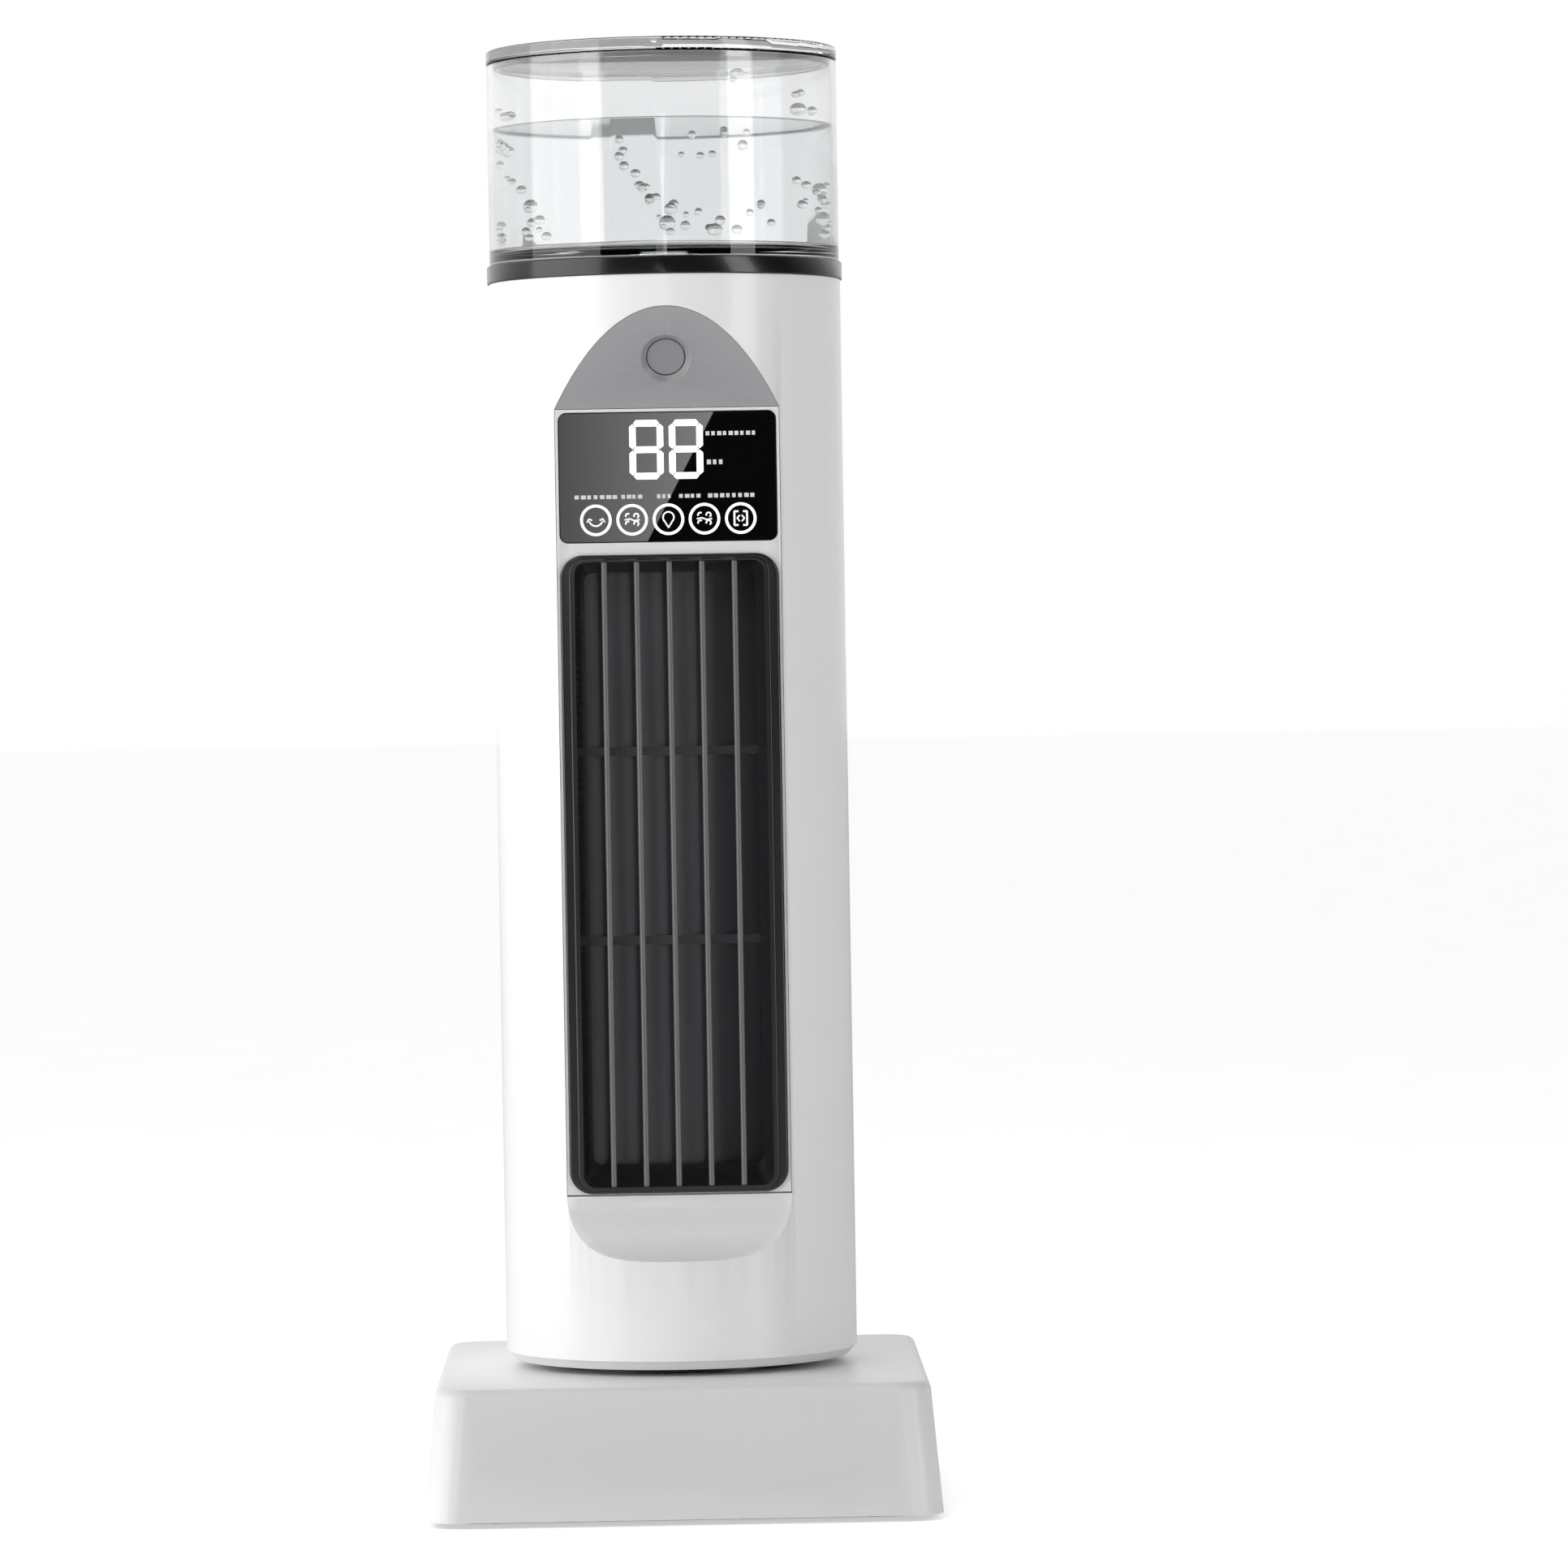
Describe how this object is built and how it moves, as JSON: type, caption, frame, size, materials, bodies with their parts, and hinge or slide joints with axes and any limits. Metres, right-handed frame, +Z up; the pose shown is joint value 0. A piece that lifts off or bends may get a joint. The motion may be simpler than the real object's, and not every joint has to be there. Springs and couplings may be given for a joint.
{
  "type": "tower fan heater",
  "caption": "Turning tower heater on a square plinth, with a ceramic element, a tall outlet grille, a touch display and a clear lift-off water tank on top.",
  "frame": {"origin": "on the floor under the column's axis, at the centre of the plinth", "axes": "+Z up, front with grille and display towards -Y, +X to the object's left as it faces out"},
  "size_m": [0.186, 0.204, 0.5351],
  "materials": {
    "shell_white": "glossy",
    "plinth_grey": "glossy",
    "panel_grey": "satin",
    "black_gloss": "high gloss",
    "black_plastic": "satin",
    "clear_plastic": "clear",
    "inner_white": "matte",
    "rubber_dark": "matte",
    "clear_silicone": "satin",
    "steel": "zinc plated",
    "bronze": "sintered",
    "fins_aluminium": "bright",
    "ceramic_element": "fired",
    "heat_resin": "matte",
    "circuit_green": "satin",
    "mist_maker": "satin"
  },
  "bodies": {
    "base": {"base_cover": "plinth_grey", "base_plate": "black_plastic", "rubber_feet": "rubber_dark", "base_screws": "steel", "ballast_plate": "steel", "cord_gland": "black_plastic", "turntable_ring": "black_plastic", "swing_motor": "steel", "swing_motor_screws": "steel", "tip_switch": "heat_resin", "tip_spring": "steel"},
    "column": {"front_shell": "shell_white", "rear_cover": "shell_white", "column_floor": "plinth_grey", "arch_panel": "panel_grey", "front_bezel": "panel_grey", "display_lens": "black_gloss", "collar_ring": "black_gloss", "outlet_grille": "black_plastic", "guide_vanes": "black_plastic", "dust_filter": "black_plastic", "led_display": "black_plastic", "ir_receiver": "black_plastic", "fan_housing": "inner_white", "top_deck": "inner_white", "swing_gear": "inner_white", "swivel_hub": "inner_white", "hub_screws": "steel", "shell_screws": "steel", "housing_screws": "steel", "motor_screws": "steel", "panel_screws": "steel", "hub_clip": "steel", "fan_motor": "steel", "thermal_cutout": "steel", "upper_bearing": "bronze", "heater_fins": "fins_aluminium", "ceramic_bars": "ceramic_element", "heater_frame": "heat_resin", "power_switch": "heat_resin", "power_board": "circuit_green", "control_board": "circuit_green", "atomizer": "mist_maker"},
    "tip_pin": {"tip_plunger": "inner_white"},
    "pinion": {"swing_pinion": "inner_white", "swing_shaft": "steel"},
    "fan": {"fan_wheel": "black_plastic", "motor_shaft": "steel", "wheel_axle": "steel"},
    "button": {"power_button": "panel_grey"},
    "tank": {"water_tank": "clear_plastic", "valve_cap": "inner_white"},
    "valve": {"valve_plunger": "inner_white"},
    "lid": {"tank_lid": "clear_plastic", "lid_seal": "clear_silicone"}
  },
  "joints": [
    {"name": "column_swing", "type": "hinge", "parent": "base", "child": "column", "pos_m": [0, 0, 0.0518], "axis": [0, 0, 1], "range_deg": [-35, 35]},
    {"name": "pinion_spin", "type": "hinge", "parent": "base", "child": "pinion", "pos_m": [0, 0.04405, 0.04], "axis": [0, 0, 1], "range_deg": [-141, 141]},
    {"name": "fan_spin", "type": "hinge", "parent": "column", "child": "fan", "pos_m": [0, 0.012, 0.232], "axis": [0, 0, 1], "continuous": true},
    {"name": "power_press", "type": "slide", "parent": "column", "child": "button", "axis": [0, 0.9297, 0.3683], "range_m": [0, 0.0012], "stiffness_N_per_m": 500},
    {"name": "tip_pin_slide", "type": "slide", "parent": "base", "child": "tip_pin", "axis": [0, 0, 1], "range_m": [-0.003, 0], "stiffness_N_per_m": 100, "deforming": ["tip_spring"]},
    {"name": "tank_lift", "type": "slide", "parent": "column", "child": "tank", "axis": [0, 0, 1], "range_m": [0, 0.12]},
    {"name": "valve_slide", "type": "slide", "parent": "tank", "child": "valve", "axis": [0, 0, 1], "range_m": [-0.0027, 0]},
    {"name": "lid_lift", "type": "slide", "parent": "tank", "child": "lid", "axis": [0, 0, 1], "range_m": [0, 0.08]}
  ],
  "couplings": [
    {"joint": "pinion_spin", "follows": "column_swing", "ratio": -4},
    {"joint": "valve_slide", "follows": "tank_lift", "ratio": -0.0225}
  ]
}
